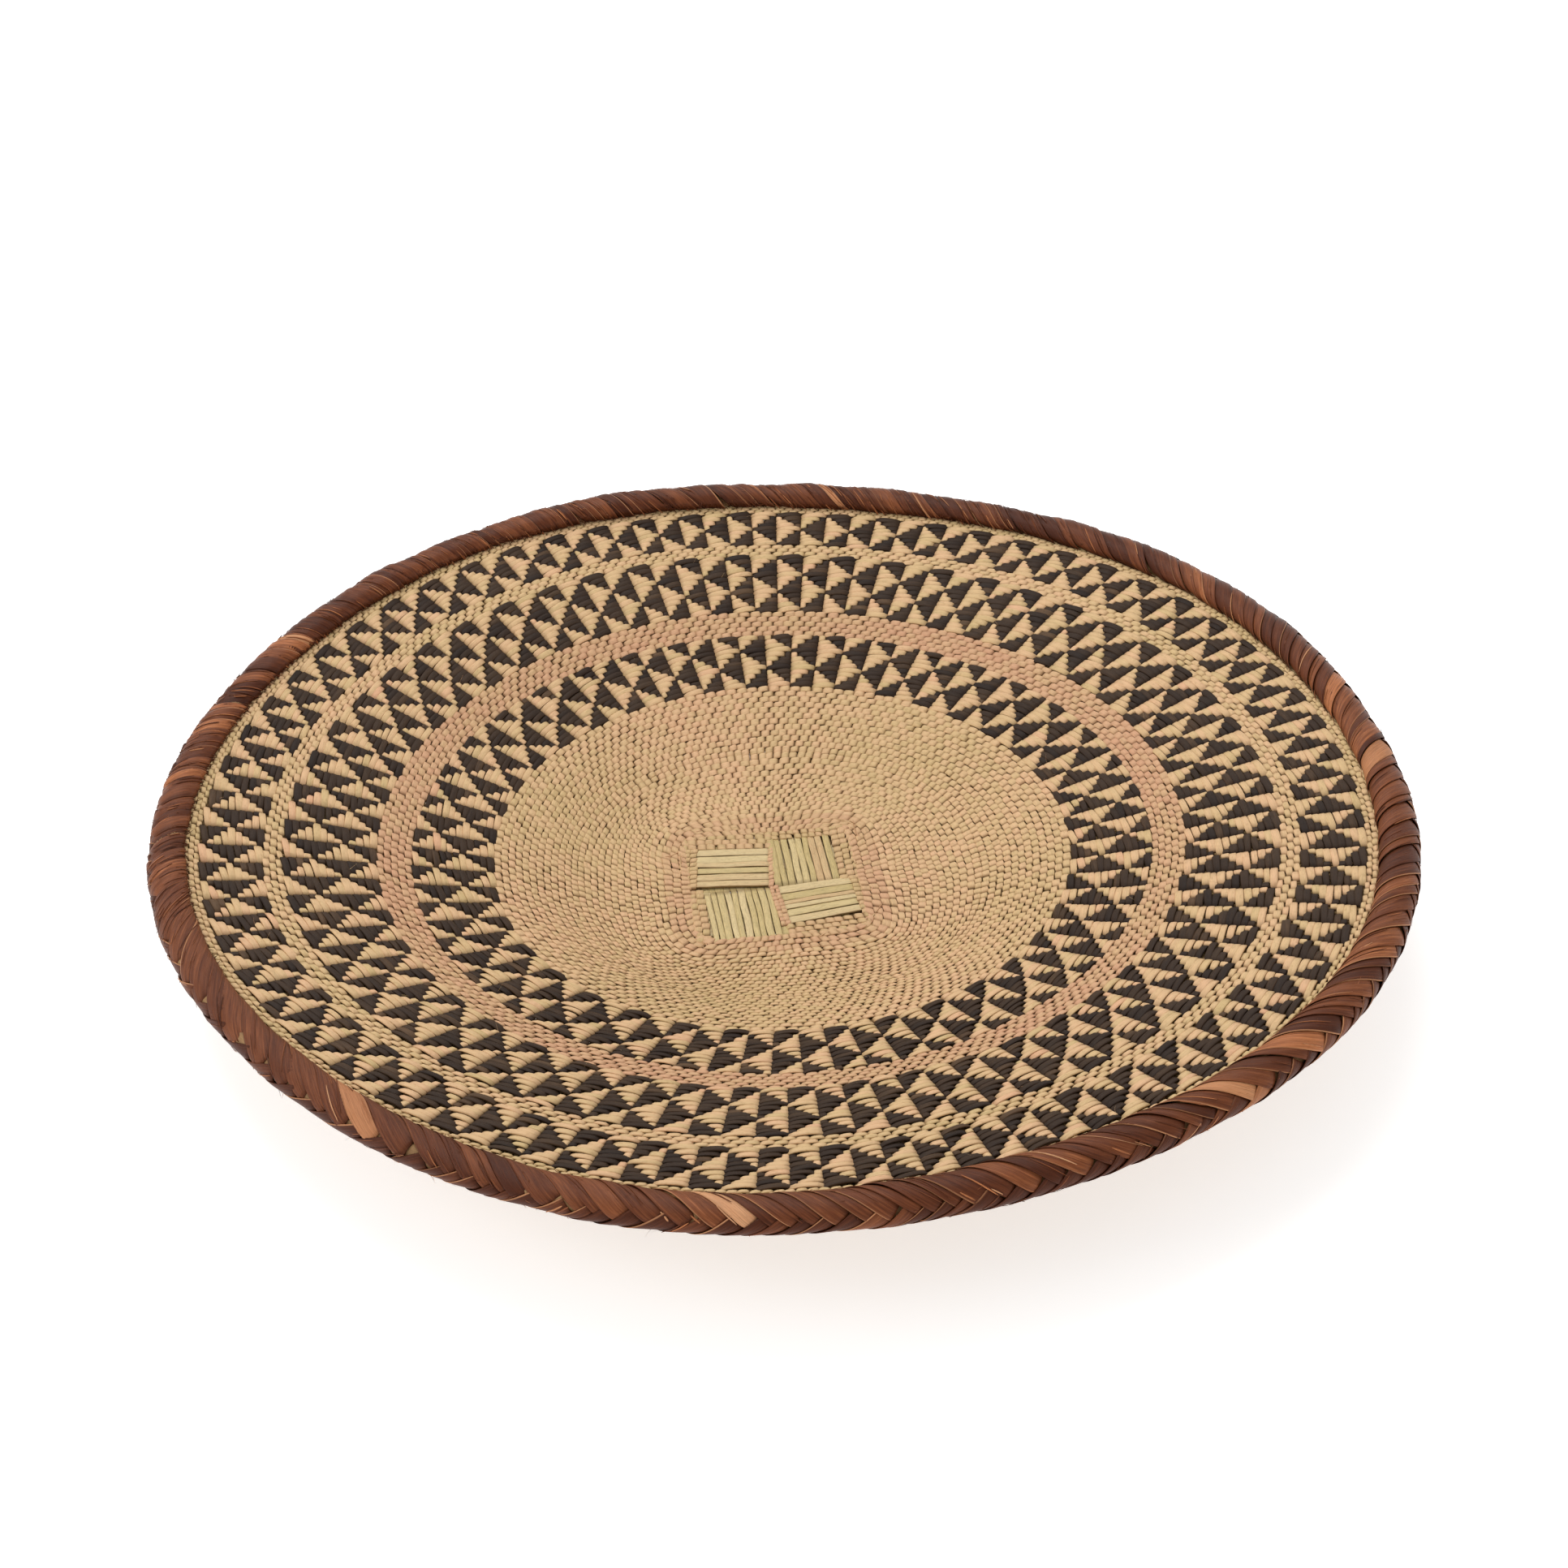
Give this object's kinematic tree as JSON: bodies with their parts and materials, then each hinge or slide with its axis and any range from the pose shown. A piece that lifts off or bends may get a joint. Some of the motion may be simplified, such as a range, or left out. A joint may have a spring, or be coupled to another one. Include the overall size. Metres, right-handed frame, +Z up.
{
  "type": "winnowing basket",
  "caption": "Shallow round winnowing basket of twined palm weft with bands of dark and pale triangles, a plaited square start and a thick rim bound in bark.",
  "frame": {"origin": "middle of the dish, on the plane of the flat base that it rests on", "axes": "+Z up, out of the open side of the dish; +X and +Y across it, with the plaited square turned 6 degrees anticlockwise from them"},
  "size_m": [0.452, 0.452, 0.0503],
  "materials": {
    "pale_palm": "matt split palm leaf, undyed",
    "pink_palm": "matt split palm leaf, pinkish",
    "dark_palm": "palm leaf dyed brown-black, slightly glossy fibres",
    "straw_splint": "split palm stalk, straw yellow, satin",
    "bark": "dark red-brown bark strip with glossy fibres",
    "pale_bark": "pale inner bark strip",
    "hoop_wood": "split wood, unfinished"
  },
  "bodies": {
    "root": {"ns_splints_left": "straw_splint", "ns_splints_right": "straw_splint", "ew_splints_rear": "straw_splint", "ew_splints_front": "straw_splint", "binding_rows": "pink_palm", "centre_field_weft": "pale_palm", "inner_band_dark_weft": "dark_palm", "inner_band_pale_weft": "pale_palm", "inner_plain_ring_weft": "pink_palm", "middle_band_dark_weft": "dark_palm", "middle_band_pale_weft": "pale_palm", "outer_plain_ring_weft": "pale_palm", "outer_band_dark_weft": "dark_palm", "outer_band_pale_weft": "pale_palm", "edge_weft": "pale_palm", "radial_stakes": "straw_splint", "middle_added_stakes": "straw_splint", "outer_added_stakes": "straw_splint", "base_back_weft": "pale_palm", "centre_field_back_weft": "pale_palm", "inner_band_back_weft": "dark_palm", "inner_plain_ring_back_weft": "pink_palm", "middle_band_back_weft": "dark_palm", "outer_plain_ring_back_weft": "pale_palm", "outer_band_back_weft": "dark_palm", "edge_back_weft": "pale_palm", "turned_up_edge": "straw_splint", "inner_hoop": "hoop_wood", "outer_hoop": "hoop_wood", "upper_bark_strips": "bark", "lower_bark_strips": "bark", "pale_bark_strips": "pale_bark"}
  },
  "joints": []
}
